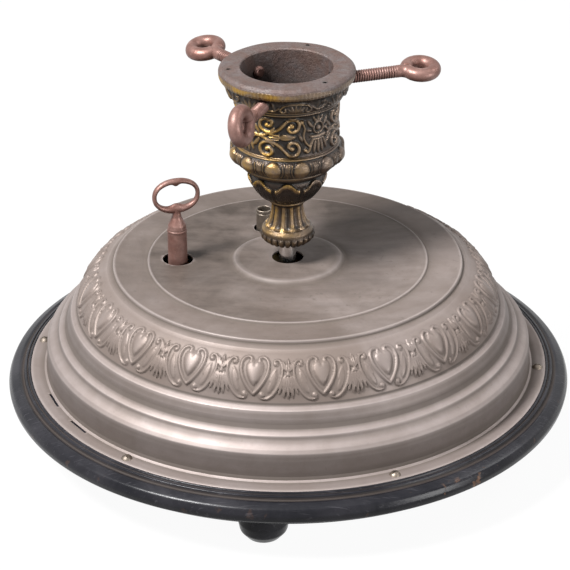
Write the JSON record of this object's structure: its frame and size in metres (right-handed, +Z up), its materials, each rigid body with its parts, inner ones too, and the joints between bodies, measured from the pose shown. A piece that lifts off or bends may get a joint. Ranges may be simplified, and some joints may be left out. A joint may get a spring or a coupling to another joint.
{
  "type": "christmas tree stand",
  "caption": "Revolving musical tree stand: clamping cup on a spindle over a domed clockwork cover, turned board and bun feet.",
  "frame": {"origin": "on the floor, on the axis that the tree turns about", "axes": "+Z up the tree's axis, -Y towards the pictured front"},
  "size_m": [0.42, 0.4199, 0.2842],
  "materials": {
    "wood": "ebonised, turned and waxed",
    "nickel": "nickel-plated sheet, satin, tarnished",
    "gilt_iron": "black iron with worn gilding on the high places",
    "rusty_iron": "bare iron, brown with rust",
    "steel": "polished steel",
    "brass": "turned and cut brass",
    "spring_steel": "blued steel",
    "dull_brass": "brass with worn nickel plate"
  },
  "bodies": {
    "stand": {"base_board": "wood", "bun_feet": "wood", "foot_screws": "rusty_iron", "dome_cover": "nickel", "flange_screws": "nickel", "lower_plate": "rusty_iron", "upper_plate": "brass", "pillars": "brass", "pillar_nuts": "steel", "plate_screws": "steel", "footstep_bearing": "brass", "thrust_ball": "steel", "upper_bush": "brass", "click_screw": "steel", "click_spring": "spring_steel", "near_bearing_block": "brass", "far_bearing_block": "brass", "music_comb": "steel", "comb_block": "rusty_iron", "comb_screws": "steel", "sleeve_guide": "brass"},
    "tree": {"tree_spindle": "steel", "spindle_wheel": "brass", "spindle_pinion": "steel", "cup_pedestal": "gilt_iron", "trunk_cup": "gilt_iron"},
    "right_screw": {"clamp_screw_right": "rusty_iron"},
    "rear_screw": {"clamp_screw_rear": "rusty_iron"},
    "front_screw": {"clamp_screw_front": "rusty_iron"},
    "barrel": {"mainspring_barrel": "brass", "barrel_cover": "brass", "mainspring": "spring_steel"},
    "winder": {"winding_arbor": "steel", "ratchet_wheel": "steel"},
    "key": {"winding_key": "rusty_iron"},
    "click": {"click": "steel"},
    "music_drive": {"music_arbor": "steel"},
    "cylinder": {"contrate_wheel": "brass", "cylinder_arbor": "steel", "music_cylinder": "brass"},
    "train": {"train_arbor": "steel", "train_wheel": "brass"},
    "governor": {"governor_arbor": "steel", "governor_fly": "brass", "brake_disc": "steel"},
    "sleeve": {"stop_sleeve": "dull_brass"}
  },
  "joints": [
    {"name": "tree_spin", "type": "hinge", "parent": "stand", "child": "tree", "pos_m": [0, 0, 0.133], "axis": [0, 0, 1], "continuous": true},
    {"name": "barrel_spin", "type": "hinge", "parent": "stand", "child": "barrel", "pos_m": [-0.08099, -0.00099, 0.085], "axis": [0, 0, 1], "continuous": true},
    {"name": "winding", "type": "hinge", "parent": "stand", "child": "winder", "pos_m": [-0.08099, -0.00099, 0.117], "axis": [0, 0, 1], "continuous": true},
    {"name": "key_lift", "type": "slide", "parent": "winder", "child": "key", "axis": [0, 0, 1], "range_m": [0, 0.04]},
    {"name": "click_lift", "type": "hinge", "parent": "stand", "child": "click", "pos_m": [-0.05878, -0.00694, 0.117], "axis": [0, 0, 1], "range_deg": [0, 10], "stiffness_Nm_per_rad": 0.02, "springref_deg": -5.73},
    {"name": "music_drive_spin", "type": "hinge", "parent": "stand", "child": "music_drive", "pos_m": [0.02032, -0.05003, 0.085], "axis": [0, 0, 1], "continuous": true},
    {"name": "cylinder_spin", "type": "hinge", "parent": "stand", "child": "cylinder", "pos_m": [0.079, -0.05003, 0.088], "axis": [1, 0, 0], "continuous": true},
    {"name": "train_spin", "type": "hinge", "parent": "stand", "child": "train", "pos_m": [0.027, 0.04677, 0.085], "axis": [0, 0, 1], "continuous": true},
    {"name": "governor_spin", "type": "hinge", "parent": "stand", "child": "governor", "pos_m": [0.00095, 0.05703, 0.085], "axis": [0, 0, 1], "continuous": true},
    {"name": "sleeve_press", "type": "slide", "parent": "stand", "child": "sleeve", "axis": [0, 0, -1], "range_m": [0, 0.006]},
    {"name": "right_screw_travel", "type": "slide", "parent": "tree", "child": "right_screw", "axis": [0.9537, 0.3007, 0], "range_m": [-0.032, 0.005]},
    {"name": "rear_screw_travel", "type": "slide", "parent": "tree", "child": "rear_screw", "axis": [-0.6361, 0.7716, 0], "range_m": [-0.0255, 0.0115]},
    {"name": "front_screw_travel", "type": "slide", "parent": "tree", "child": "front_screw", "axis": [-0.3907, -0.9205, 0], "range_m": [-0.0105, 0.0265]}
  ],
  "couplings": [
    {"joint": "barrel_spin", "follows": "tree_spin", "ratio": -0.42105},
    {"joint": "music_drive_spin", "follows": "tree_spin", "ratio": -8},
    {"joint": "cylinder_spin", "follows": "tree_spin", "ratio": 2.4},
    {"joint": "train_spin", "follows": "tree_spin", "ratio": -8},
    {"joint": "governor_spin", "follows": "tree_spin", "ratio": 48}
  ]
}
